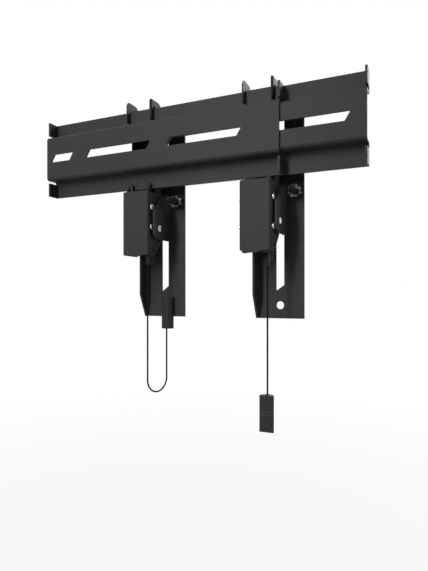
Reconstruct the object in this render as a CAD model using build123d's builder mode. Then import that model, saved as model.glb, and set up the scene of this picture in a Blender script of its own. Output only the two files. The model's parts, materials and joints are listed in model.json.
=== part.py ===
from build123d import *
from math import hypot, pi, radians, tan
import os

# Tilting wall bracket: a wall rail in two nested lengths carries two arms.
# Each arm hangs by a hook on the rail's upper lip, is kept from swinging out by a
# spring latch under the lower lip, and tilts a slotted rail that takes the screen.
# Frame: wall face at Y = 0, screen towards +Y, Z up, origin on the outer length's
# back, midway between its two long slots.

os.makedirs("parts", exist_ok=True)

# General fits
flat_gap = 0.3
pin_clearance = 0.05
guide_clearance = 0.15

# Wall rail
rail_sheet = 2.0
rail_web_height = 48.0
rail_depth = 16.0
rail_bend = 2.2
lip_height = 17.2
outer_left = -143.0
outer_right = 125.5
inner_left = -6.0
inner_right = 201.0
wall_slot_length = 76.0
wall_slot_height = 8.3
wall_slot_slant = 5.0
wall_slot_strut = 22.0
wall_slot_corner = 1.0
end_slot_length = 26.0
end_tab_corner = 4.0
end_tab_relief = 2.5

# Places of the two arms along the rail
left_arm_x = -28.5
right_arm_x = 101.5

# Hanger: a folded channel, hooked at the top and boxed in below the lower lip
arm_sheet = 2.0
hanger_width = 31.2
hanger_wall_gap = 3.0
hanger_back = 31.6
hook_slot = 5.0
hook_finger = 5.0
hook_finger_drop = 12.5
hook_crown = 10.0
box_top_gap = 3.8
box_height = 66.0
box_foot_depth = 14.0
hanger_bend = 2.5
hanger_heel_drop = 12.0
box_corner = 0.5
box_root = 1.5
hook_root = 0.6
hook_finger_corner = 1.2
hook_crown_corner = 5.0
hanger_shoulder = 8.0
hanger_heel = 6.0
hanger_foot = 3.0
back_web_rise = 5.0
tongue_drop = 2.0
tongue_tip = 0.5
tongue_end = 5.6
lock_hole_r = 1.5
lock_hole_y = 14.0
lock_hole_rise = 5.6

# Latch: a sliding fork with two hook tips, guided by two tubular rivets
latch_sheet = 2.0
latch_travel = 6.6
latch_tip_rise = 6.0
latch_tip_span = 5.5
latch_tip_length = 10.0
latch_tip_corner = 2.6
latch_cheek_width = 1.3
latch_cheek_slope = 9.0
latch_lip_gap = 1.2
latch_web_height = 18.0
latch_foot_rise = 5.0
latch_tab_drop = 10.0
latch_tab_rise = 5.0
latch_tab_start = 8.0
latch_tab_end = 20.0
latch_tab_corner = 3.0
latch_tab_hole_r = 1.0
latch_tab_hole_pitch = 3.4
latch_tab_hole_rise = 5.0
guide_r = 2.0
guide_bore_r = 1.2
guide_head_r = 3.1
guide_head = 1.0
guide_y = 9.5
upper_guide_drop = 16.5
guide_pitch = 20.3
spring_wire_r = 0.4
spring_turns = 7
spring_seam = 45.0

# Tilt pivot
pivot_y = 20.0
pivot_drop = 37.5
pivot_r = 2.5
pivot_head_r = 3.6
pivot_head = 1.5
washer_r = 6.5
washer = 1.6
ear_tip_y = 23.0
ear_tip_rise = 31.0
ear_tip_corner = 1.2
ear_neck_y = 25.5
ear_neck_rise = 24.0
ear_neck = 6.0
ear_front_y = 9.5
ear_shoulder_rise = 17.7
ear_shoulder = 5.0
ear_foot_drop = 11.5
ear_heel = 7.0
ear_root_rise = 10.8
ear_root_corner = 0.3
inner_ear_r = 6.2
inner_ear_root = 12.0

# Slotted screen rail
screen_face_y = 46.0
screen_rail_width = 48.0
screen_rail_bottom = -175.0
screen_hole_pitch = 200.0
screen_hole_margin = 13.0
screen_hole_r = 3.9
screen_slot_width = 8.3
screen_slot_margin = 27.0
screen_slot_slant = 6.0
screen_slot_corner = 1.0
lower_slot_length = 64.0
upper_slot_length = 52.0
flange_depth = 16.0
flange_upper_depth = 13.0
flange_taper = 24.0
flange_end_depth = 5.0
screen_rail_bend = 2.5

# Thumb nut on its stud
stud_x = 28.0
stud_drop = 7.0
stud_r = 3.0
stud_length = 23.0
stud_chamfer = 0.8
stud_collar_r = 4.6
stud_collar = 3.0
nut_r = 6.6
nut_lobe_r = 1.3
nut_lobes = 8
nut_height = 5.0
nut_recess_r = 4.8
nut_recess = 2.0

# Pull cord with its magnetic tag
cord_r = 0.85
ferrule_r = 1.8
ferrule_length = 8.0
ferrule_y = 12.0
ferrule_rise = 2.0
cord_bend_share = 0.45
cord_eye_r = 1.6
cord_eye = 1.0
tag_width = 13.6
tag_height = 34.0
tag_thick = 8.0
tag_side = 1.5
tag_corner = 0.8
tag_edge = 0.5
ridge_width = 9.0
ridge_height = 1.1
ridge_rise = 0.4
ridge_pitch = 2.6
magnet_r = 4.2
magnet_thick = 2.0
magnet_proud = 0.5
magnet_from_eye = 26.0
stowed_tag_x = 16.5
stowed_tag_top = -154.0
stowed_cord_gap = 1.2
loop_bottom = -254.0
loop_turn = 45.0
hanging_cord_length = 119.0

# Levels and faces that follow from the sizes above
lip_end = rail_web_height / 2 + lip_height
lips_wall_face = rail_depth - rail_sheet
lips_front = rail_depth + rail_sheet
hook_front = lips_front + (hook_slot - 2 * rail_sheet) / 2
box_top = -lip_end - box_top_gap
box_bottom = box_top - box_height
hanger_top = lip_end + flat_gap + hook_crown
upper_guide_z = box_top - upper_guide_drop
lower_guide_z = upper_guide_z - guide_pitch
pivot_z = box_top - pivot_drop
plate_wall_face = screen_face_y - arm_sheet
screen_hole_low = screen_rail_bottom + screen_hole_margin
screen_rail_top = screen_hole_low + screen_hole_pitch + screen_hole_margin
stud_z = box_top - stud_drop
channel_half = hanger_width / 2 - arm_sheet
ear_inside = hanger_width / 2 + washer
flange_outside = -channel_half + washer
screen_slot_x = flange_outside + screen_rail_width / 2
latch_half = channel_half - flat_gap
latch_wall_face = hanger_wall_gap + arm_sheet + flat_gap
latch_front = lips_wall_face - latch_lip_gap
latch_bottom = box_bottom + latch_foot_rise
latch_tab_bottom = box_bottom - latch_tab_drop
ferrule_x = latch_half - latch_sheet - ferrule_r - pin_clearance
ferrule_bottom = latch_tab_bottom + ferrule_rise
stowed_tag_face = plate_wall_face - flat_gap - magnet_proud
stowed_tag_bottom = stowed_tag_top - tag_height
cut_reach = 4 * box_height


def x_plane(x):
    """A sketch plane across the bracket, with Y to the right and Z up."""
    return Plane.YZ.offset(x)


def y_plane(y):
    """A sketch plane that faces the wall, with X to the right and Z up."""
    return Plane.XZ.offset(-y)


def finish(piece, name):
    """Label a piece and write its file."""
    piece.part.label = name
    export_step(piece.part, f"parts/{name}.step")


def make_rail(name, left, right, wall_gap, web_height, slots, tabbed_ends):
    """Fold one length of the wall rail, with its slanted slots and end tabs."""
    middle = rail_sheet / 2
    web = wall_gap + middle
    front = wall_gap + rail_depth - middle
    shelf = web_height / 2 - middle
    tab_start = wall_gap + end_tab_relief
    tab_width = wall_gap + rail_depth - tab_start
    tab_root = rail_web_height / 2 + end_tab_relief
    tab_height = lip_end - tab_root
    with BuildPart() as rail:
        with BuildSketch(x_plane(left)):
            with BuildLine():
                FilletPolyline(
                    (front, lip_end),
                    (front, shelf),
                    (web, shelf),
                    (web, -shelf),
                    (front, -shelf),
                    (front, -lip_end),
                    radius=rail_bend,
                )
            trace(line_width=rail_sheet)
        extrude(amount=right - left)
        with BuildSketch(y_plane(wall_gap)) as openings:
            for centre, length in slots:
                half = length / 2
                lean = wall_slot_slant / 2
                rise = wall_slot_height / 2
                with Locations((centre, 0)):
                    Polygon(
                        (-half - lean, -rise),
                        (half - lean, -rise),
                        (half + lean, rise),
                        (-half + lean, rise),
                        align=None,
                    )
            fillet(openings.vertices(), radius=wall_slot_corner)
        extrude(amount=2 * rail_sheet, both=True, mode=Mode.SUBTRACT)
        for tab_x in tabbed_ends:
            with BuildSketch(x_plane(tab_x)) as tabs:
                for way in (1, -1):
                    with Locations((tab_start + tab_width / 2, way * (tab_root + tab_height / 2))):
                        Rectangle(tab_width, tab_height)
                free_corners = tabs.vertices().group_by(Axis.Y)[0]
                far_corners = free_corners.group_by(SortBy.DISTANCE)[-1]
                fillet(far_corners, radius=end_tab_corner)
            extrude(amount=rail_sheet)
    finish(rail, name)


def make_hanger(name, x):
    """Fold the hanger: two hooked sides, a box web at the wall and a web behind."""
    half = hanger_width / 2
    hook_wall = hook_front - hook_slot
    finger_wall = hook_wall - hook_finger
    slot_top = lip_end + flat_gap
    foot = hanger_wall_gap + box_foot_depth
    back_web_bottom = box_top + back_web_rise
    corners = [box_corner, box_corner, box_root, hook_root, hook_root, hook_finger_corner]
    corners += [hook_finger_corner, hook_crown_corner, hanger_shoulder, hanger_heel, hanger_foot]
    with BuildPart() as hanger:
        with BuildSketch(x_plane(x - half)):
            with BuildLine():
                FilletPolyline(
                    (hanger_wall_gap, box_bottom),
                    (hanger_wall_gap, box_top),
                    (hook_front, box_top),
                    (hook_front, slot_top),
                    (hook_wall, slot_top),
                    (hook_wall, slot_top - hook_finger_drop),
                    (finger_wall, slot_top - hook_finger_drop),
                    (finger_wall, hanger_top),
                    (hanger_back, hanger_top),
                    (hanger_back, pivot_z - hanger_heel_drop),
                    (foot, box_bottom),
                    radius=corners,
                    close=True,
                )
            make_face()
        extrude(amount=hanger_width)
        fillet(hanger.edges().filter_by(Axis.Z).group_by(Axis.Y)[0], radius=hanger_bend)
        with BuildSketch(x_plane(x - channel_half)):
            inside = hanger_wall_gap + arm_sheet
            Polygon(
                (inside, -cut_reach),
                (cut_reach, -cut_reach),
                (cut_reach, back_web_bottom),
                (hanger_back - arm_sheet, back_web_bottom),
                (hanger_back - arm_sheet, cut_reach),
                (inside, cut_reach),
                align=None,
            )
        extrude(amount=2 * channel_half, mode=Mode.SUBTRACT)
        with BuildSketch(y_plane(hanger_wall_gap)):
            with Locations((x, box_bottom)):
                Polygon(
                    (-half + hanger_bend, arm_sheet),
                    (-half + hanger_bend, 0),
                    (tongue_tip, -tongue_drop),
                    (tongue_end, 0),
                    (tongue_end, arm_sheet),
                    align=None,
                )
        extrude(amount=-arm_sheet)
        with BuildSketch(x_plane(x - half)):
            with Locations((guide_y, upper_guide_z)):
                Circle(guide_r + pin_clearance)
            with Locations((guide_y, lower_guide_z - latch_travel / 2)):
                SlotCenterToCenter(latch_travel, 2 * (guide_r + guide_clearance), rotation=90)
            with Locations((pivot_y, pivot_z)):
                Circle(pivot_r + pin_clearance)
            with Locations((lock_hole_y, box_bottom + lock_hole_rise)):
                Circle(lock_hole_r)
        extrude(amount=hanger_width, mode=Mode.SUBTRACT)
    finish(hanger, name)


def make_latch(name, x, drop):
    """Fold the latch fork, with a slot round the fixed rivet and a tab for the cord."""
    tip = -lip_end + latch_tip_rise - drop
    cheek_top = tip - latch_tip_corner
    web_top = latch_bottom + latch_web_height
    with BuildPart() as latch:
        with BuildSketch(x_plane(x - latch_half)):
            Polygon(
                (latch_wall_face, latch_bottom - drop),
                (latch_wall_face, cheek_top - latch_cheek_slope),
                (latch_front - latch_cheek_width, cheek_top),
                (latch_front, cheek_top),
                (latch_front, latch_bottom - drop),
                align=None,
            )
        extrude(amount=2 * latch_half)
        with BuildSketch(x_plane(x - latch_half + latch_sheet)):
            Polygon(
                (latch_wall_face + latch_sheet, -cut_reach),
                (cut_reach, -cut_reach),
                (cut_reach, cut_reach),
                (0, cut_reach),
                (0, web_top - drop),
                (latch_wall_face + latch_sheet, web_top - drop),
                align=None,
            )
        extrude(amount=2 * (latch_half - latch_sheet), mode=Mode.SUBTRACT)
        with BuildSketch(y_plane(latch_front)) as tips:
            for way in (1, -1):
                with Locations((x + way * (latch_half - latch_tip_span / 2), tip)):
                    Rectangle(latch_tip_span, latch_tip_length, align=(Align.CENTER, Align.MAX))
            fillet(tips.vertices().group_by(Axis.Y)[-1], radius=latch_tip_corner)
        extrude(amount=latch_sheet)
        with BuildSketch(x_plane(x + latch_half - latch_sheet)) as tab:
            tab_height = latch_bottom - latch_tab_bottom
            with Locations((latch_tab_start, latch_tab_bottom - drop)):
                Rectangle(
                    latch_tab_end - latch_tab_start,
                    tab_height + latch_tab_rise,
                    align=(Align.MIN, Align.MIN),
                )
            fillet(tab.vertices(), radius=latch_tab_corner)
            with Locations((latch_tab_start, latch_bottom - drop)):
                Rectangle(
                    latch_front - latch_tab_start,
                    latch_tab_corner,
                    align=(Align.MIN, Align.CENTER),
                )
            middle_y = (latch_tab_start + latch_tab_end) / 2
            with Locations((middle_y, latch_tab_bottom + latch_tab_hole_rise - drop)):
                with GridLocations(latch_tab_hole_pitch, latch_tab_hole_pitch, 2, 1):
                    Circle(latch_tab_hole_r, mode=Mode.SUBTRACT)
            with Locations((lock_hole_y, box_bottom + lock_hole_rise - drop)):
                Circle(lock_hole_r, mode=Mode.SUBTRACT)
        extrude(amount=latch_sheet)
        with BuildSketch(x_plane(x - latch_half)):
            with Locations((guide_y, upper_guide_z + latch_travel / 2 - drop)):
                SlotCenterToCenter(latch_travel, 2 * (guide_r + guide_clearance), rotation=90)
            with Locations((guide_y, lower_guide_z - drop)):
                Circle(guide_r + pin_clearance)
        extrude(amount=2 * latch_half, mode=Mode.SUBTRACT)
    finish(latch, name)


def make_guide_rivet(name, x, z):
    """Turn a tubular rivet that crosses the channel, with a rolled head on each side."""
    head_seat = hanger_width / 2 + flat_gap
    end = head_seat + guide_head
    with BuildPart() as rivet:
        with BuildSketch(Plane.XY):
            with BuildLine():
                Polyline(
                    (-end, guide_bore_r),
                    (-end, guide_head_r),
                    (-head_seat, guide_head_r),
                    (-head_seat, guide_r),
                    (head_seat, guide_r),
                    (head_seat, guide_head_r),
                    (end, guide_head_r),
                    (end, guide_bore_r),
                    close=True,
                )
            make_face()
        revolve(axis=Axis.X)
        rims = rivet.edges().filter_by(GeomType.CIRCLE).filter_by(lambda rim: rim.radius > guide_r)
        rim_groups = rims.sort_by(Axis.X)
        fillet([rim_groups[0], rim_groups[-1]], radius=guide_head / 2)
    rivet.part.locate(Location((x, guide_y, z)))
    finish(rivet, name)


def make_spring(name, x, drop):
    """Wind the spring that draws the latch up, with a loop round each rivet."""
    loop_r = guide_r + guide_clearance + spring_wire_r
    bottom = lower_guide_z - drop + loop_r
    height = guide_pitch + drop - 2 * loop_r
    with BuildPart() as spring:
        with BuildLine() as coil:
            Helix(height / spring_turns, height, loop_r, center=(x - loop_r, guide_y, bottom))
        with BuildSketch(Plane(coil.line @ 0, z_dir=coil.line % 0)):
            Circle(spring_wire_r)
        sweep(is_frenet=True)
        for z in (lower_guide_z - drop, upper_guide_z):
            with Locations(Location((x, guide_y, z), (0, 90, 0))):
                Torus(loop_r, spring_wire_r, rotation=(0, 0, spring_seam))
    finish(spring, name)


def make_pivot_rivets(name, x):
    """Turn the two rivets on which the screen rail tilts."""
    inner_seats = (channel_half, flange_outside + arm_sheet)
    outer_seats = (ear_inside + arm_sheet, hanger_width / 2)
    dome_r = (pivot_head_r**2 + pivot_head**2) / (2 * pivot_head)
    with BuildPart() as rivets:
        for inner, outer, way in zip(inner_seats, outer_seats, (1, -1)):
            start = abs(inner) - flat_gap
            stop = outer + flat_gap
            with BuildSketch(Plane.XY) as half_section:
                with BuildLine():
                    Polyline(
                        (start - pivot_head, 0),
                        (start - pivot_head, pivot_head_r),
                        (start, pivot_head_r),
                        (start, pivot_r),
                        (stop, pivot_r),
                        (stop, pivot_head_r),
                    )
                    RadiusArc((stop, pivot_head_r), (stop + pivot_head, 0), dome_r)
                    Line((stop + pivot_head, 0), (start - pivot_head, 0))
                make_face()
                if way < 0:
                    mirror(about=Plane.YZ, mode=Mode.REPLACE)
            revolve(axis=Axis.X)
    rivets.part.locate(Location((x, pivot_y, pivot_z)))
    finish(rivets, name)


def make_washers(name, x):
    """Cut the two friction washers of the tilt pivot."""
    with BuildPart() as washers:
        for start in (hanger_width / 2, -channel_half):
            with BuildSketch(x_plane(x + start)):
                with Locations((pivot_y, pivot_z)):
                    Circle(washer_r)
                    Circle(pivot_r + pin_clearance, mode=Mode.SUBTRACT)
            extrude(amount=washer)
    finish(washers, name)


def make_screen_rail(name, x):
    """Fold the slotted screen rail: a plate and one flange with the left pivot ear."""
    left = x + flange_outside
    near = screen_face_y - flange_depth
    near_upper = screen_face_y - flange_upper_depth
    near_end = screen_face_y - flange_end_depth
    lower_slot = (screen_rail_bottom + screen_slot_margin, lower_slot_length)
    upper_slot = (screen_rail_top - screen_slot_margin - upper_slot_length, upper_slot_length)
    slot_half = screen_slot_width / 2
    with BuildPart() as rail:
        with BuildSketch(x_plane(left)):
            with BuildLine():
                Polyline(
                    (screen_face_y, screen_rail_bottom),
                    (near_end, screen_rail_bottom),
                    (near, screen_rail_bottom + flange_taper),
                    (near, pivot_z - inner_ear_root),
                    (pivot_y, pivot_z - inner_ear_r),
                    (pivot_y, pivot_z + inner_ear_r),
                    (near_upper, pivot_z + inner_ear_root),
                    (near_upper, screen_rail_top - flange_taper),
                    (near_end, screen_rail_top),
                    (screen_face_y, screen_rail_top),
                    close=True,
                )
            make_face()
            with Locations((pivot_y, pivot_z)):
                Circle(inner_ear_r)
                Circle(pivot_r + pin_clearance, mode=Mode.SUBTRACT)
        extrude(amount=arm_sheet)
        with BuildSketch(y_plane(plate_wall_face)):
            with Locations((left, screen_rail_bottom)):
                Rectangle(
                    screen_rail_width,
                    screen_rail_top - screen_rail_bottom,
                    align=(Align.MIN, Align.MIN),
                )
        extrude(amount=-arm_sheet)
        bend = rail.edges().filter_by(Axis.Z).group_by(Axis.Y)[-1].sort_by(Axis.X)[0]
        fillet(bend, radius=screen_rail_bend)
        with BuildSketch(y_plane(screen_face_y)) as openings:
            for slot_bottom, slot_length in (lower_slot, upper_slot):
                with Locations((x + screen_slot_x, slot_bottom)):
                    Polygon(
                        (-slot_half, 0),
                        (slot_half, screen_slot_slant),
                        (slot_half, slot_length),
                        (-slot_half, slot_length - screen_slot_slant),
                        align=None,
                    )
            fillet(openings.vertices(), radius=screen_slot_corner)
            for z in (screen_hole_low, screen_hole_low + screen_hole_pitch):
                with Locations((x + screen_slot_x, z)):
                    Circle(screen_hole_r)
        extrude(amount=2 * arm_sheet, mode=Mode.SUBTRACT)
    finish(rail, name)


def make_tilt_ear(name, x):
    """Cut the right pivot ear, a fin that stands on the screen rail's plate."""
    foot = pivot_z - ear_foot_drop
    with BuildPart() as ear:
        with BuildSketch(x_plane(x + ear_inside)):
            with BuildLine():
                FilletPolyline(
                    (plate_wall_face, pivot_z + ear_root_rise),
                    (ear_neck_y, pivot_z + ear_neck_rise),
                    (ear_tip_y, pivot_z + ear_tip_rise),
                    (ear_front_y, pivot_z + ear_shoulder_rise),
                    (ear_front_y, foot),
                    (plate_wall_face, foot),
                    radius=[ear_root_corner, ear_neck, ear_tip_corner, ear_shoulder, ear_heel, ear_root_corner],
                    close=True,
                )
            make_face()
            with Locations((pivot_y, pivot_z)):
                Circle(pivot_r + pin_clearance, mode=Mode.SUBTRACT)
        extrude(amount=arm_sheet)
    finish(ear, name)


def make_stud(name, x):
    """Turn the stud that stands on the plate, with a collar at its foot."""
    with BuildPart() as stud:
        with BuildSketch(y_plane(plate_wall_face)):
            with Locations((x + stud_x, stud_z)):
                Circle(stud_collar_r)
        extrude(amount=stud_collar)
        with BuildSketch(y_plane(plate_wall_face)):
            with Locations((x + stud_x, stud_z)):
                Circle(stud_r)
        extrude(amount=stud_length)
        chamfer(stud.edges().group_by(Axis.Y)[0], length=stud_chamfer)
    finish(stud, name)


def make_thumb_nut(name, x):
    """Mould the lobed thumb nut that turns on the stud."""
    seat = plate_wall_face - stud_collar - flat_gap
    with BuildPart() as nut:
        with BuildSketch(y_plane(seat)):
            with Locations((x + stud_x, stud_z)):
                Circle(nut_r)
                with PolarLocations(nut_r, nut_lobes):
                    Circle(nut_lobe_r, mode=Mode.SUBTRACT)
                Circle(stud_r + pin_clearance, mode=Mode.SUBTRACT)
        extrude(amount=nut_height)
        with BuildSketch(y_plane(seat - nut_height)):
            with Locations((x + stud_x, stud_z)):
                Circle(nut_recess_r)
        extrude(amount=-nut_recess, mode=Mode.SUBTRACT)
    finish(nut, name)


def make_ferrule(name, x, drop):
    """Turn the ferrule that ties the cord's end to the latch tab."""
    with BuildPart() as ferrule:
        with BuildSketch(Plane.XY.offset(ferrule_bottom - drop)):
            with Locations((x + ferrule_x, ferrule_y)):
                Circle(ferrule_r)
        extrude(amount=ferrule_length)
    finish(ferrule, name)


def make_tag(side, x, flat_y, way, eye_z, eye_way):
    """Mould the tag, flat on its magnet's side and round on the other, and its magnet.

    The flat side faces way along Y, and the cord's eye faces eye_way along Z.
    """
    half = tag_width / 2
    side_y = flat_y - way * tag_side
    round_y = flat_y - way * tag_thick
    ridge_z = eye_z - eye_way * tag_height / 2
    magnet_z = eye_z - eye_way * magnet_from_eye
    with BuildPart() as tag:
        with BuildSketch(Plane.XY.offset(eye_z)):
            with BuildLine():
                Polyline((x - half, side_y), (x - half, flat_y), (x + half, flat_y), (x + half, side_y))
                ThreePointArc((x + half, side_y), (x, round_y), (x - half, side_y))
            make_face()
        extrude(amount=-eye_way * tag_height)
        corners = tag.edges().filter_by(Axis.Z).filter_by_position(Axis.Y, flat_y, flat_y)
        fillet(corners, radius=tag_corner)
        ends = tag.edges().group_by(Axis.Z)
        fillet(ends[0] + ends[-1], radius=tag_edge)
        with BuildSketch(y_plane(flat_y)):
            with Locations((x, ridge_z)):
                with GridLocations(ridge_pitch, ridge_pitch, 1, 2):
                    Rectangle(ridge_width, ridge_height)
        extrude(amount=-way * ridge_rise)
        with BuildSketch(y_plane(flat_y)):
            with Locations((x, magnet_z)):
                Circle(magnet_r + pin_clearance)
        extrude(amount=way * (magnet_thick - magnet_proud), mode=Mode.SUBTRACT)
        with BuildSketch(Plane.XY.offset(eye_z)):
            with Locations((x, (flat_y + round_y) / 2)):
                Circle(cord_eye_r)
        extrude(amount=-eye_way * cord_eye, mode=Mode.SUBTRACT)
    finish(tag, f"{side}_tag")
    with BuildPart() as magnet:
        with BuildSketch(y_plane(flat_y + way * magnet_proud)):
            with Locations((x, magnet_z)):
                Circle(magnet_r)
        extrude(amount=way * magnet_thick)
    finish(magnet, f"{side}_tag_magnet")


def make_cord(name, route):
    """Sweep a cord's tube along its route and print its radii, volume and length."""
    points = [Vector(point) for point in route]
    radii = []
    for before, here, after in zip(points, points[1:], points[2:]):
        turn = (here - before).get_angle(after - here)
        shorter = min((here - before).length, (after - here).length)
        radii.append(cord_bend_share * shorter / tan(radians(turn) / 2))
    with BuildPart() as cord:
        with BuildLine() as path:
            if radii:
                FilletPolyline(*points, radius=radii)
            else:
                Line(points[0], points[-1])
        with BuildSketch(Plane(path.line @ 0, z_dir=path.line % 0)):
            Circle(cord_r)
        sweep()
    length = sum(edge.length for edge in path.edges())
    section_times_length = pi * cord_r**2 * length
    print(name, "length", round(length, 1), "radii", [round(radius, 1) for radius in radii])
    print(name, "volume", round(cord.part.volume, 1), "of", round(section_times_length, 1))
    finish(cord, name)


def stowed_route(x):
    """The looped cord's points, from the ferrule down and round to the stowed tag."""
    start = (x + ferrule_x, ferrule_y)
    stop = (x + stowed_tag_x, stowed_tag_face - tag_thick / 2)
    span = hypot(stop[0] - start[0], stop[1] - start[1])
    loop_r = span / 2
    step = loop_r * tan(radians(loop_turn / 2))
    levels = [loop_r - step, 0.0, 0.0, loop_r - step]
    shares = [0.0, 0.5 - step / span, 0.5 + step / span, 1.0]
    route = [(*start, ferrule_bottom)]
    for level, share in zip(levels, shares):
        along_x = start[0] + share * (stop[0] - start[0])
        along_y = start[1] + share * (stop[1] - start[1])
        route.append((along_x, along_y, loop_bottom + level))
    route.append((*stop, stowed_tag_bottom - stowed_cord_gap))
    return route


slot_pitch = wall_slot_length + wall_slot_strut
first_slot = slot_pitch / 2
end_slot_x = -first_slot - slot_pitch / 2 - wall_slot_strut / 2 - end_slot_length / 2

make_rail(
    "outer_wall_rail",
    outer_left,
    outer_right,
    0,
    rail_web_height,
    [(end_slot_x, end_slot_length), (-first_slot, wall_slot_length), (first_slot, wall_slot_length)],
    [outer_left, outer_right - rail_sheet],
)
make_rail(
    "inner_wall_rail",
    inner_left,
    inner_right,
    rail_sheet,
    rail_web_height - 2 * rail_sheet,
    [(first_slot, wall_slot_length), (first_slot + slot_pitch, wall_slot_length)],
    [inner_right - rail_sheet],
)

# The left arm is shown locked with its tag stowed, the right arm with its latch drawn
for side, x, drop in (("left", left_arm_x, 0.0), ("right", right_arm_x, latch_travel)):
    make_hanger(f"{side}_hanger", x)
    make_latch(f"{side}_latch", x, drop)
    make_guide_rivet(f"{side}_guide_rivet", x, upper_guide_z)
    make_guide_rivet(f"{side}_latch_rivet", x, lower_guide_z - drop)
    make_spring(f"{side}_latch_spring", x, drop)
    make_pivot_rivets(f"{side}_pivot_rivets", x)
    make_washers(f"{side}_tilt_washers", x)
    make_screen_rail(f"{side}_screen_rail", x)
    make_tilt_ear(f"{side}_tilt_ear", x)
    make_stud(f"{side}_stud", x)
    make_thumb_nut(f"{side}_thumb_nut", x)
    make_ferrule(f"{side}_cord_ferrule", x, drop)

make_tag("left", left_arm_x + stowed_tag_x, stowed_tag_face, 1, stowed_tag_bottom, -1)
make_cord("left_cord", stowed_route(left_arm_x))

hanging_x = right_arm_x + ferrule_x
hanging_top = ferrule_bottom - latch_travel
hanging_tag_top = hanging_top - hanging_cord_length
hanging_route = [(hanging_x, ferrule_y, hanging_top), (hanging_x, ferrule_y, hanging_tag_top - cord_eye)]
make_tag("right", hanging_x, ferrule_y - tag_thick / 2, -1, hanging_tag_top, 1)
make_cord("right_cord", hanging_route)
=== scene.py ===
# %% [markdown]
# # A tilting screen bracket
# A folded steel rail is screwed to the wall. Two arms hang on it, each with a spring latch that a pull cord
# draws down and a slotted rail that takes the screen. The steel comes from the CAD model as it is. This
# lesson adds what a CAD solid can't show: the limp cords, the springs, the screw threads, the finishes,
# the light and the camera.

# %% Load the imported model
import json
import math

import bmesh
import bpy
from mathutils import Matrix, Vector


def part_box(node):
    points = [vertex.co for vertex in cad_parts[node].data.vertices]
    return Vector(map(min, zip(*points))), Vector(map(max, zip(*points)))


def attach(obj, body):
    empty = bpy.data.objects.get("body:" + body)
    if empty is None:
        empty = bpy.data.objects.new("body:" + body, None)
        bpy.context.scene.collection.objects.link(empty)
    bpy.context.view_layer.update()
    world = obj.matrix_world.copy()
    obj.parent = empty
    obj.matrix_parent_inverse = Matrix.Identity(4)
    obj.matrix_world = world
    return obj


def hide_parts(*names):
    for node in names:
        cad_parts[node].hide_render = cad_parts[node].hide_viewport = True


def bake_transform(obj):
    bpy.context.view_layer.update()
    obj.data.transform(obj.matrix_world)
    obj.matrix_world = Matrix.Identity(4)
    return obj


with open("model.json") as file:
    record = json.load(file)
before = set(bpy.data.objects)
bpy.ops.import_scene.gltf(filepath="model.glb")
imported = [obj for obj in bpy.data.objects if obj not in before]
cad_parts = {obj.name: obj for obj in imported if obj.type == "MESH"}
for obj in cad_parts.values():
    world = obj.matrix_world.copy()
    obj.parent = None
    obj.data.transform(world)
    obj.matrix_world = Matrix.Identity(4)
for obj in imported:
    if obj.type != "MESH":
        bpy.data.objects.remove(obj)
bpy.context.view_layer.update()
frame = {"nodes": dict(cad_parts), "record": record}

nodes = frame["nodes"]
MM = 0.001
SIDES = ("left", "right")

# %% [markdown]
# ## Helpers for pieces
# Every new thing, whether a mesh, a lamp or the camera, is a data block that an object shows in the scene.
# Two small functions put such an object in place and turn a finished bmesh into a mesh, so that the steps
# below only say what they make.


# %% Define the piece helpers
def put(name, data):
    """A new object in the scene, at the origin, that shows the data."""
    thing = bpy.data.objects.new(name, data)
    bpy.context.collection.objects.link(thing)
    return thing


def mesh_from(shape, name):
    """The mesh of a finished bmesh, which is let go."""
    mesh = bpy.data.meshes.new(name)
    shape.to_mesh(mesh)
    shape.free()
    return mesh


print("piece helpers ready")

# %% [markdown]
# ## Camera
# The picture is taken from the wall side, a little below the latches, with the camera kept level so that the
# arms stay upright. A camera can be aimed by a constraint or by its angles. Here its place, its turn about
# the vertical and its focal length come from a fit to points of the picture, so they are written as numbers.
# The small lens shift keeps the horizon where it is without tipping the camera.

# %% Place the camera
IMAGE_HEIGHT = 571
FOCAL_PIXELS = 488.0
HORIZON_ROW = 296.1
SENSOR_MM = 36.0
NEAREST = 10 * MM
CAMERA_PLACE = (0.252, -0.421, -0.153)
CAMERA_LEVEL = math.pi / 2
CAMERA_YAW = math.radians(24.3)

lens = bpy.data.cameras.new("camera")
lens.sensor_width = SENSOR_MM
lens.lens = FOCAL_PIXELS / IMAGE_HEIGHT * SENSOR_MM
lens.shift_y = (HORIZON_ROW - IMAGE_HEIGHT / 2) / IMAGE_HEIGHT
lens.clip_start = NEAREST
camera = put("camera", lens)
camera.location = CAMERA_PLACE
camera.rotation_euler = (CAMERA_LEVEL, 0, CAMERA_YAW)
bpy.context.scene.camera = camera
print("lens", round(lens.lens, 2), "mm, shift", round(lens.shift_y, 4))

# %% [markdown]
# ## Helpers for finishes
# Colours are picked as sRGB hex values, the way a colour picker shows them, but shaders work with linear
# light, so one function turns them. A second function adds a node with its settings and links, which keeps
# each finish readable as a short list of nodes. All patterns lie on Object coordinates and take their scale
# from a size in millimetres.

# %% Define the finish helpers
slot_of = {part["node"]: part["material_slot"] for part in frame["record"]["subparts"]}


def linear(hex_colour):
    """An sRGB hex colour as linear RGBA."""
    parts = [int(hex_colour[i:i + 2], 16) / 255 for i in (1, 3, 5)]
    return [p / 12.92 if p <= 0.04045 else ((p + 0.055) / 1.055) ** 2.4 for p in parts] + [1.0]


def add(tree, kind, settings, links):
    """Add a node: settings go to its properties or sockets, links to its sockets."""
    node = tree.nodes.new(kind)
    for name, value in settings.items():
        if hasattr(node, str(name)):
            setattr(node, name, value)
        else:
            node.inputs[name].default_value = value
    for name, source in links.items():
        tree.links.new(source, node.inputs[name])
    return node


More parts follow.
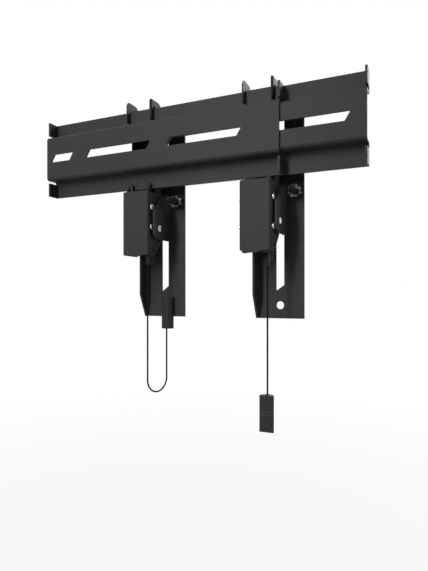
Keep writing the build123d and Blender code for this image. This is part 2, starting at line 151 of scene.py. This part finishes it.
def start_finish(name):
    """A new material with its node tree, its shader and its Object coordinates."""
    material = bpy.data.materials.new(name)
    material.use_nodes = True
    tree = material.node_tree
    place = add(tree, "ShaderNodeTexCoord", {}, {}).outputs["Object"]
    return material, tree, tree.nodes["Principled BSDF"], place


def per_metre(size_mm):
    """How often a pattern of that size repeats in a metre."""
    return 1000.0 / size_mm


def dress(finish, slot):
    """Give a finish to every CAD node of a material slot."""
    dressed = [node for name, node in nodes.items() if slot_of[name] == slot]
    for node in dressed:
        node.data.materials.clear()
        node.data.materials.append(finish)
    print(finish.name, "on", len(dressed), "nodes")


print("slots", sorted(set(slot_of.values())))

# %% [markdown]
# ## Pull cords
# The latch is drawn down by a thin braided nylon cord. On the left arm its tag is stuck on the steel, so the
# cord hangs in a narrow loop, and on the right arm it hangs straight down with the tag on its end. A cord
# could be a swept CAD tube, but that looks like bent wire, so each one follows a smooth spline. The ends of
# the left one are on two pieces that move, and only a mesh can bend between them, so both splines are turned
# into mesh tubes.

# %% Choose the cords' routes, in millimetres
left_route = [
    (-19.05, 12.0, -119.0),
    (-19.05, 12.0, -234.1),
    (-19.05, 12.0, -245.77),
    (-16.98, 19.97, -254.0),
    (-14.07, 31.23, -254.0),
    (-12.0, 39.2, -245.77),
    (-12.0, 39.2, -234.1),
    (-12.0, 39.2, -187.0),
]
right_route = [(110.95, 12.0, -125.6), (110.95, 12.0, -190.0), (110.95, 12.0, -245.6)]
print("route points", len(left_route), len(right_route))

# %% [markdown]
# The route's points pull a NURBS spline of low order, which stays close to them and still turns smoothly. It
# is read once as a bare line, which gives the points that it follows, and once more with a round bevel,
# which gives its skin.

# %% Turn the routes into tubes
CORD_RADIUS = 0.85 * MM
SPLINE_ORDER = 3
SPLINE_STEPS = 12
ROUND_STEPS = 4


def hang_cord(name, route):
    """A smooth spline, with the route's points as its control points."""
    curve = bpy.data.curves.new(name, "CURVE")
    curve.dimensions = "3D"
    curve.resolution_u = SPLINE_STEPS
    spline = curve.splines.new("NURBS")
    spline.points.add(len(route) - 1)
    for point, place in zip(spline.points, route):
        point.co = (*(Vector(place) * MM), 1.0)
    spline.order_u = SPLINE_ORDER
    spline.use_endpoint_u = True
    return put(name, curve)


def round_out(cord):
    """Give a spline the cord's round section, closed at both ends."""
    cord.data.bevel_depth = CORD_RADIUS
    cord.data.bevel_resolution = ROUND_STEPS
    cord.data.use_fill_caps = True


def tube(name, route):
    """A mesh tube round the spline, and the points that it follows."""
    spline = hang_cord(name + "_spline", route)
    line = bpy.data.meshes.new_from_object(spline)
    path = [vertex.co.copy() for vertex in line.vertices]
    round_out(spline)
    cord = put(name, bpy.data.meshes.new_from_object(spline))
    bpy.data.objects.remove(spline)
    return cord, path


cords = {}
for side, route in zip(SIDES, (left_route, right_route)):
    cord, path = tube(f"{side}_pull_cord", route)
    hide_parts(f"{side}_cord")
    cords[side] = cord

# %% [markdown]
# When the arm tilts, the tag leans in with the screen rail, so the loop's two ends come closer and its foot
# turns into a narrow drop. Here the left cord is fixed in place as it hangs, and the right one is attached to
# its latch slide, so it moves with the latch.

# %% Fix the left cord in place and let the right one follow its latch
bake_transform(cords["left"])
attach(cords["right"], "right_latch_slide")

# %% [markdown]
# ## Floor and backdrop
# The picture has no room in it, only white. The bracket hangs above a plain pale floor. A square plane would
# do, but a wide disc has no corners that could show in a far view.

# %% Lay the floor
FLOOR_LEVEL = -430 * MM
FLOOR_RADIUS = 6.0
FLOOR_SEGMENTS = 96
floor_shape = bmesh.new()
bmesh.ops.create_circle(floor_shape, cap_ends=True, segments=FLOOR_SEGMENTS, radius=FLOOR_RADIUS,
                        matrix=Matrix.Translation((0, 0, FLOOR_LEVEL)))
floor = put("floor", mesh_from(floor_shape, "floor"))
print("floor at", FLOOR_LEVEL, "m")

# %% [markdown]
# To keep the ground white without pouring more light on black steel, the floor shows the camera mostly its
# own white, and all of it farther out, so that no horizon shows. Close by it keeps some of its shading, so a
# soft shadow stays. For all other light it is a mid grey, so it throws little up at the undersides, which are
# nearly black in the picture.

# %% Paint the floor
FLOOR_GREY = "#848483"
FLOOR_ROUGHNESS = 0.9
NEAR_REACH, FAR_REACH = 0.2, 0.9
NEAR_WHITE, FAR_WHITE = 0.9, 1.0


def shown_directly(tree):
    """1 for rays that show the ground itself: to the camera, in mirrors and through glass."""
    rays = add(tree, "ShaderNodeLightPath", {}, {})
    seen = add(tree, "ShaderNodeMath", {"operation": "MAXIMUM"},
               {0: rays.outputs["Is Camera Ray"], 1: rays.outputs["Is Transmission Ray"]})
    return add(tree, "ShaderNodeMath", {"operation": "MAXIMUM"},
               {0: seen.outputs[0], 1: rays.outputs["Is Glossy Ray"]}).outputs[0]


floor_finish, tree, shader, place = start_finish("pale_floor_paint")
shader.inputs["Base Color"].default_value = linear(FLOOR_GREY)
shader.inputs["Roughness"].default_value = FLOOR_ROUGHNESS
flat = add(tree, "ShaderNodeVectorMath", {"operation": "MULTIPLY", 1: (1, 1, 0)}, {0: place})
reach = add(tree, "ShaderNodeVectorMath", {"operation": "LENGTH"}, {0: flat.outputs["Vector"]})
fade = add(tree, "ShaderNodeMapRange",
           {"From Min": NEAR_REACH, "From Max": FAR_REACH, "To Min": NEAR_WHITE, "To Max": FAR_WHITE},
           {"Value": reach.outputs["Value"]})
share = add(tree, "ShaderNodeMath", {"operation": "MULTIPLY"},
            {0: shown_directly(tree), 1: fade.outputs["Result"]})
white = add(tree, "ShaderNodeEmission", {"Color": linear("#ffffff"), "Strength": 1.0}, {})
mixed = add(tree, "ShaderNodeMixShader", {},
            {0: share.outputs[0], 1: shader.outputs["BSDF"], 2: white.outputs["Emission"]})
tree.links.new(mixed.outputs["Shader"], tree.nodes["Material Output"].inputs["Surface"])
floor.data.materials.append(floor_finish)
print("floor painted")

# %% [markdown]
# ## Light
# Black steel is drawn by light and shade. A tall narrow lamp stands in front of the wall side, 24 degrees up
# and a little to the left, so the faces towards the wall are the palest, the sides are dark and the
# undersides darkest. Being tall, it fades the shade of the rail's fold down its lip, and being narrow, it
# throws the ear's shadow on the plate with a clear edge. A second, broader lamp lights the screen side.

# %% Hang the lamps
BRACKET_MIDDLE = Vector((0.03, 0.02, -0.08))
bpy.context.scene.view_settings.view_transform = "Standard"


def hang_lamp(name, place, width, height, power):
    """A soft lamp that points at the bracket's middle."""
    light = bpy.data.lights.new(name, "AREA")
    light.shape = "RECTANGLE"
    light.size = width
    light.size_y = height
    light.energy = power
    lamp = put(name, light)
    lamp.location = place
    lamp.rotation_euler = (BRACKET_MIDDLE - Vector(place)).to_track_quat("-Z", "Y").to_euler()
    print(name, power, "W")


hang_lamp("key_lamp", (-0.34, -1.2, 0.49), width=0.22, height=1.1, power=12.0)
hang_lamp("back_lamp", (0.3, 1.5, 0.9), width=1.2, height=1.2, power=20.0)

# %% [markdown]
# The world fills the shadows with a weak even light. It could be one grey for all rays, but then the backdrop
# would be grey too, so it shows itself as white to the camera and in mirrors, and is weak for all other rays.

# %% Light the world
WORLD_LIGHT = 0.18
WORLD_SHOWN = 1.0
world = bpy.data.worlds.new("studio")
bpy.context.scene.world = world
world.use_nodes = True
tree = world.node_tree
level = add(tree, "ShaderNodeMapRange", {"To Min": WORLD_LIGHT, "To Max": WORLD_SHOWN},
            {"Value": shown_directly(tree)})
tree.links.new(level.outputs["Result"], tree.nodes["Background"].inputs["Strength"])
tree.nodes["Background"].inputs["Color"].default_value = linear("#ffffff")
print("world light", WORLD_LIGHT)

# %% [markdown]
# ## Edges
# A folded sheet has no sharp edge: its coat is rounded there, and handling rubs it paler. The CAD edges are
# sharp and stay so. A Bevel node bends the normal near an edge, which rounds it for the light, and where the
# bent normal leaves the true one, the edge is painted pale, partly as rubbed wear and partly as painted
# highlight.

# %% Find the edges
WEAR_AND_HIGHLIGHT_STARTS = 0.995
WEAR_AND_HIGHLIGHT_IS_FULL = 0.85


def edge_wear_and_highlight(tree, rounded):
    """How far the rounded normal leaves the true one: 0 on flats, 1 on edges."""
    true_normal = add(tree, "ShaderNodeNewGeometry", {}, {}).outputs["Normal"]
    agree = add(tree, "ShaderNodeVectorMath", {"operation": "DOT_PRODUCT"}, {0: rounded, 1: true_normal})
    # Mask of the pale edges: partly rubbed wear, partly painted highlight.
    wear_and_highlight = add(tree, "ShaderNodeMapRange",
              {"From Min": WEAR_AND_HIGHLIGHT_STARTS, "From Max": WEAR_AND_HIGHLIGHT_IS_FULL, "To Min": 0.0, "To Max": 1.0},
              {"Value": agree.outputs["Value"]})
    return wear_and_highlight.outputs["Result"]


print("rub starts", round(math.degrees(math.acos(WEAR_AND_HIGHLIGHT_STARTS)), 1), "degrees off")

# %% [markdown]
# ## Powder coat
# Rails, hangers and screen rails are folded steel with a satin black powder coat. Powder is sprayed dry and
# baked, so it melts into a skin with a fine orange peel that breaks up reflections, and it is thinner and a
# little paler on sharp edges. A plain grey would do from afar, but up close it looks like plastic. So noise
# at the size of the peel drives the bump, a slower one the tone and the sheen, and a third one breaks up the
# pale edges, which are partly rubbed wear and partly painted highlight.

# %% Mix the powder coat
COAT_EDGE = 0.35 * MM
CLOUD_MM = 28
CHIP_MM = 2.2
PEEL_DEPTH = 0.05 * MM
COAT_IOR = 1.5
COAT_MIRROR = 0.12


def coat(name, dark, pale, rubbed_and_highlight, peel_mm, sheen_low, sheen_high):
    """A baked black coat: orange peel, uneven sheen, and pale edges of rubbed wear and painted highlight."""
    finish, tree, shader, place = start_finish(name)
    rounded = add(tree, "ShaderNodeBevel", {"samples": 6, "Radius": COAT_EDGE}, {}).outputs["Normal"]
    cloud = add(tree, "ShaderNodeTexNoise", {"Scale": per_metre(CLOUD_MM), "Detail": 3.0}, {"Vector": place})
    base = add(tree, "ShaderNodeMix", {"data_type": "RGBA", 6: linear(dark), 7: linear(pale)},
               {0: cloud.outputs["Fac"]})
    chips = add(tree, "ShaderNodeTexNoise", {"Scale": per_metre(CHIP_MM), "Detail": 4.0}, {"Vector": place})
    broken_wear_and_highlight = add(tree, "ShaderNodeMath", {"operation": "MULTIPLY"},
                 {0: edge_wear_and_highlight(tree, rounded), 1: chips.outputs["Fac"]})
    # Painted highlight and rubbed wear: the edges are mixed towards the pale edge colour.
    colour = add(tree, "ShaderNodeMix", {"data_type": "RGBA", 7: linear(rubbed_and_highlight)},
                 {0: broken_wear_and_highlight.outputs[0], 6: base.outputs[2]})
    tree.links.new(colour.outputs[2], shader.inputs["Base Color"])
    sheen = add(tree, "ShaderNodeMapRange", {"To Min": sheen_low, "To Max": sheen_high},
                {"Value": cloud.outputs["Fac"]})
    tree.links.new(sheen.outputs["Result"], shader.inputs["Roughness"])
    peel = add(tree, "ShaderNodeTexNoise", {"Scale": per_metre(peel_mm), "Detail": 2.0}, {"Vector": place})
    bump = add(tree, "ShaderNodeBump", {"Strength": 0.35, "Distance": PEEL_DEPTH},
               {"Height": peel.outputs["Fac"], "Normal": rounded})
    tree.links.new(bump.outputs["Normal"], shader.inputs["Normal"])
    shader.inputs["IOR"].default_value = COAT_IOR
    shader.inputs["Specular IOR Level"].default_value = COAT_MIRROR
    return finish


# The real peel is about 0.4 mm, too fine for the picture, so it is drawn at 0.9 mm
PEEL_MM = 0.9
# Satin: a lamp shows as a broad soft sheen, and the edges as thin paler lines, partly painted highlight
dress(coat("satin_black_powder_coat", dark="#38383a", pale="#3e3e3f", rubbed_and_highlight="#68686a", peel_mm=PEEL_MM,
           sheen_low=0.42, sheen_high=0.52), "powder_coat")
# The latch has a thinner and darker coat, so it stands out in its box
dress(coat("satin_black_latch_coat", dark="#2b2b2c", pale="#313132", rubbed_and_highlight="#505051", peel_mm=PEEL_MM,
           sheen_low=0.42, sheen_high=0.55), "latch_coat")

# %% [markdown]
# ## Plated and oxidised metal
# Rivets are turned from steel and zinc plated, so they are bright, with fine scratches. The spring is drawn
# wire. The stud is black oxidised, which leaves it dull, and its thumb nut is plated dark and rubbed bright
# on its lobes. Each could have its own list of nodes, but they share one recipe: a metal whose roughness and
# tint vary in streaks, with the same streaks as bump.

# %% Mix the metals
METAL_EDGE = 0.2 * MM
SCRATCH_DEPTH = 0.03 * MM
OXIDE_MIRROR = 0.15


def metal(name, tint, shade, streak_mm, smooth, rough, metallic):
    """A metal with streaked tint and roughness and fine scratches."""
    finish, tree, shader, place = start_finish(name)
    streaks = add(tree, "ShaderNodeTexNoise", {"Scale": per_metre(streak_mm), "Detail": 5.0},
                  {"Vector": place})
    colour = add(tree, "ShaderNodeMix", {"data_type": "RGBA", 6: linear(tint), 7: linear(shade)},
                 {0: streaks.outputs["Fac"]})
    tree.links.new(colour.outputs[2], shader.inputs["Base Color"])
    dull = add(tree, "ShaderNodeMapRange", {"To Min": smooth, "To Max": rough},
               {"Value": streaks.outputs["Fac"]})
    tree.links.new(dull.outputs["Result"], shader.inputs["Roughness"])
    rounded = add(tree, "ShaderNodeBevel", {"samples": 4, "Radius": METAL_EDGE}, {}).outputs["Normal"]
    bump = add(tree, "ShaderNodeBump", {"Strength": 0.25, "Distance": SCRATCH_DEPTH},
               {"Height": streaks.outputs["Fac"], "Normal": rounded})
    tree.links.new(bump.outputs["Normal"], shader.inputs["Normal"])
    shader.inputs["Metallic"].default_value = metallic
    return finish


# Bright zinc: small white glints in the dark steel
zinc = {"tint": "#d9d9d6", "shade": "#b4b4b0", "streak_mm": 0.8,
        "smooth": 0.22, "rough": 0.38, "metallic": 1.0}
dress(metal("zinc_plated_rivet", **zinc), "rivet_steel")
# Drawn wire is greyer than zinc, since it is only oiled
dress(metal("drawn_spring_wire", tint="#a6a6a4", shade="#7d7d7b", streak_mm=0.6, smooth=0.25, rough=0.40,
            metallic=1.0), "spring_steel")
# The oxide is a dull oiled skin over the steel, so it is nearly black and mirrors little
black_oxide = metal("black_oxide_steel", tint="#111112", shade="#1b1b1c", streak_mm=0.7, smooth=0.55,
                    rough=0.70, metallic=0.0)
black_oxide.node_tree.nodes["Principled BSDF"].inputs["Specular IOR Level"].default_value = OXIDE_MIRROR
dress(black_oxide, "black_oxide")
# Dark plating that fingers keep polished: each lobe of the nut catches a glint
dress(metal("black_plated_nut", tint="#343435", shade="#525251", streak_mm=0.9, smooth=0.32, rough=0.48,
            metallic=0.8), "nut_steel")

# %% [markdown]
# The tool that peens a pivot rivet presses in the middle of its head, and leaves a dent with shade in it. The
# dent is too shallow for the solids, so its shade is painted on as a dark spot, by the distance from the
# rivet's axis, which runs along X. Both arms have their pivot at the same height and depth, so one finish
# fits all four rivets.

# %% Peen the pivot rivets and paint the shade in their dents
DENT_RADIUS = 0.9 * MM
DENT_RIM = 1.7 * MM
DENT_SHADE = 0.06


def paint_dent_shade(finish, centre):
    """Paint shade on the middle of a rivet's head, in the dent where the tool pressed it in."""
    tree = finish.node_tree
    shader = tree.nodes["Principled BSDF"]
    place = tree.nodes["Texture Coordinate"].outputs["Object"]
    across = add(tree, "ShaderNodeVectorMath", {"operation": "SUBTRACT", 1: centre}, {0: place})
    flat = add(tree, "ShaderNodeVectorMath", {"operation": "MULTIPLY", 1: (0, 1, 1)},
               {0: across.outputs["Vector"]})
    off = add(tree, "ShaderNodeVectorMath", {"operation": "LENGTH"}, {0: flat.outputs["Vector"]})
    # Painted shade: the colour is multiplied down towards the middle of the dent.
    dent_painted_shade = add(tree, "ShaderNodeMapRange",
               {"From Min": DENT_RADIUS, "From Max": DENT_RIM, "To Min": DENT_SHADE},
               {"Value": off.outputs["Value"]})
    bare = shader.inputs["Base Color"].links[0].from_socket
    dim = add(tree, "ShaderNodeMix", {"data_type": "RGBA", "blend_type": "MULTIPLY", 0: 1.0},
              {6: bare, 7: dent_painted_shade.outputs["Result"]})
    tree.links.new(dim.outputs[2], shader.inputs["Base Color"])
    return finish


pivot_low, pivot_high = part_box("left_pivot_rivets")
dent_shaded = paint_dent_shade(metal("rivet_head_painted_dent_shade", **zinc), (pivot_low + pivot_high) / 2)
for side in SIDES:
    nodes[f"{side}_pivot_rivets"].data.materials[0] = dent_shaded
    print(side, "pivot rivets peened")

# %% [markdown]
# ## Latch springs
# A small tension spring hangs between the two guide rivets and draws the latch up. Its lower loop moves with
# the latch, so it has to stretch. It could be wound anew as a curve, but the CAD's shape is right, so a copy
# of it, with its loose triangles merged and its faces smooth, takes the CAD spring's place.

# %% Hang the springs
MERGE_DISTANCE = 0.001 * MM


def merged_copy(name, node):
    """A smooth copy of a CAD mesh whose triangles share their corners."""
    shape = bmesh.new()
    shape.from_mesh(node.data)
    bmesh.ops.remove_doubles(shape, verts=shape.verts[:], dist=MERGE_DISTANCE)
    for face in shape.faces:
        face.smooth = True
    mesh = mesh_from(shape, name)
    for finish in node.data.materials:
        mesh.materials.append(finish)
    return mesh


for side in SIDES:
    node = nodes[f"{side}_latch_spring"]
    spring = put(f"{side}_coil_spring", merged_copy(f"{side}_coil_spring", node))
    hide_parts(node.name)
    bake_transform(spring)

# %% [markdown]
# ## Screw threads
# Each stud is a screw, and its free end shows its thread beside the thumb nut. A thread could be painted as
# bump, but it is seen from the side, where bump has no outline. Here a small triangle is spun round the stud
# while it moves along, as a lathe cuts it. Its foot is sunk a little, so that no gap shows.

# %% Cut the threads
STUD_RADIUS = 3.0 * MM
THREAD_PITCH = 1.25 * MM
THREAD_HEIGHT = 0.28 * MM
THREAD_SUNK = 0.05 * MM
THREAD_LENGTH = 12.8 * MM
THREAD_FROM_TIP = 1.4 * MM
FLANK = 0.45 * THREAD_PITCH
STEPS_PER_TURN = 20


def cut_thread(side):
    """Spin a triangle into the raised thread of a stud's free end."""
    tip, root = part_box(f"{side}_stud")
    axis_x = (tip.x + root.x) / 2
    axis_z = (tip.z + root.z) / 2
    start = tip.y + THREAD_FROM_TIP
    foot = axis_x + STUD_RADIUS - THREAD_SUNK
    crest = axis_x + STUD_RADIUS + THREAD_HEIGHT
    turns = THREAD_LENGTH / THREAD_PITCH
    shape = bmesh.new()
    corners = ((foot, start - FLANK), (foot, start + FLANK), (crest, start))
    shape.faces.new([shape.verts.new((x, y, axis_z)) for x, y in corners])
    bmesh.ops.spin(shape, geom=shape.faces[:], cent=(axis_x, 0, axis_z), axis=(0, 1, 0),
                   dvec=(0, THREAD_PITCH / STEPS_PER_TURN, 0), angle=2 * math.pi * turns,
                   steps=round(turns * STEPS_PER_TURN))
    bmesh.ops.recalc_face_normals(shape, faces=shape.faces[:])
    thread = put(f"{side}_stud_thread", mesh_from(shape, f"{side}_stud_thread"))
    thread.data.materials.append(black_oxide)
    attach(thread, f"{side}_screen_arm")
    print(thread.name, round(turns, 1), "turns,", len(thread.data.polygons), "faces")


for side in SIDES:
    cut_thread(side)

# %% [markdown]
# ## Moulded plastic
# The tags are moulded in black ABS with a spark eroded grain, the washers are nylon, and the tag's magnet has
# an epoxy skin. A grain could be an image, but noise at the size of the grain has no seam. It drives the bump
# and a slight change of tone, and the edges are painted pale, partly as wear from handling and partly as
# painted highlight.

# %% Mix the plastics
PLASTIC_EDGE = 0.3 * MM
GRAIN_DEPTH = 0.06 * MM
PLASTIC_IOR = 1.5
PLASTIC_MIRROR = 0.25


def moulded(name, dark, pale, worn_and_highlight, grain_mm, smooth, rough):
    """A moulded plastic with an eroded grain and pale edges of painted wear and highlight."""
    finish, tree, shader, place = start_finish(name)
    rounded = add(tree, "ShaderNodeBevel", {"samples": 4, "Radius": PLASTIC_EDGE}, {}).outputs["Normal"]
    grain = add(tree, "ShaderNodeTexNoise", {"Scale": per_metre(grain_mm), "Detail": 3.0}, {"Vector": place})
    colour = add(tree, "ShaderNodeMix", {"data_type": "RGBA", 6: linear(dark), 7: linear(pale)},
                 {0: grain.outputs["Fac"]})
    # Painted highlight and wear: the edges are mixed towards the pale edge colour.
    edged = add(tree, "ShaderNodeMix", {"data_type": "RGBA", 7: linear(worn_and_highlight)},
                {0: edge_wear_and_highlight(tree, rounded), 6: colour.outputs[2]})
    tree.links.new(edged.outputs[2], shader.inputs["Base Color"])
    dull = add(tree, "ShaderNodeMapRange", {"To Min": smooth, "To Max": rough},
               {"Value": grain.outputs["Fac"]})
    tree.links.new(dull.outputs["Result"], shader.inputs["Roughness"])
    bump = add(tree, "ShaderNodeBump", {"Strength": 0.4, "Distance": GRAIN_DEPTH},
               {"Height": grain.outputs["Fac"], "Normal": rounded})
    tree.links.new(bump.outputs["Normal"], shader.inputs["Normal"])
    shader.inputs["IOR"].default_value = PLASTIC_IOR
    shader.inputs["Specular IOR Level"].default_value = PLASTIC_MIRROR
    return finish


# The real grain is about 0.1 mm, too fine for the picture, so the grains below are drawn coarser
# Matt ABS: no glint on the flats, pale lines of painted highlight and wear on the edges and ridges
dress(moulded("grained_black_abs", dark="#222223", pale="#29292a", worn_and_highlight="#868688", grain_mm=0.6,
              smooth=0.45, rough=0.60), "tag_plastic")
# Epoxy is smoother than the tag round it, so the magnet shows as a faint disc
dress(moulded("black_epoxy_magnet", dark="#232325", pale="#2a2a2b", worn_and_highlight="#323234", grain_mm=1.2,
              smooth=0.40, rough=0.55), "magnet_coat")
# Nylon has a waxy skin, a little softer than the steel beside it
dress(moulded("black_nylon", dark="#242424", pale="#2b2b2b", worn_and_highlight="#3a3a3a", grain_mm=0.8,
              smooth=0.40, rough=0.55), "nylon")

# %% [markdown]
# ## Braid
# The cord is braided from fine nylon strands that cross each other, with shade between them, so it is the
# darkest piece. Modelled strands would take many thousands of faces for a cord of 1.7 mm, so two crossed
# waves draw them, as a change of tone that paints the shade between the strands, and as bump.

# %% Braid the cords
# Real strands lie about 0.6 mm apart, too fine for the picture, so they are drawn at 1.8 mm
STRAND_MM = 1.8
STRAND_ANGLE = math.radians(45)
STRAND_DEPTH = 0.05 * MM
# The Wave node multiplies its scale by 20 before it takes the sine
WAVE_FACTOR = 20
wave_scale = per_metre(STRAND_MM) * 2 * math.pi / WAVE_FACTOR

braid, tree, shader, place = start_finish("braided_black_cord")
weave = []
for way in (1, -1):
    turned = add(tree, "ShaderNodeMapping", {"Rotation": (0, way * STRAND_ANGLE, 0)}, {"Vector": place})
    wave = add(tree, "ShaderNodeTexWave", {"Scale": wave_scale, "Distortion": 0.6},
               {"Vector": turned.outputs["Vector"]})
    weave.append(wave.outputs["Fac"])
crossed = add(tree, "ShaderNodeMath", {"operation": "MAXIMUM"}, {0: weave[0], 1: weave[1]})
# Painted shade: the colour is darker between the strands.
colour = add(tree, "ShaderNodeMix", {"data_type": "RGBA", 6: linear("#0e0e0f"), 7: linear("#161617")},
             {0: crossed.outputs[0]})
tree.links.new(colour.outputs[2], shader.inputs["Base Color"])
bump = add(tree, "ShaderNodeBump", {"Strength": 0.3, "Distance": STRAND_DEPTH},
           {"Height": crossed.outputs[0]})
tree.links.new(bump.outputs["Normal"], shader.inputs["Normal"])
shader.inputs["Roughness"].default_value = 0.8
shader.inputs["Specular IOR Level"].default_value = 0.12
for cord in cords.values():
    cord.data.materials.append(braid)
dress(braid, "cord_braid")

# %% [markdown]
# ## Last step
# The view layer is brought up to date, so that every piece stands where it was put.

# %% Update the view layer
bpy.context.view_layer.update()
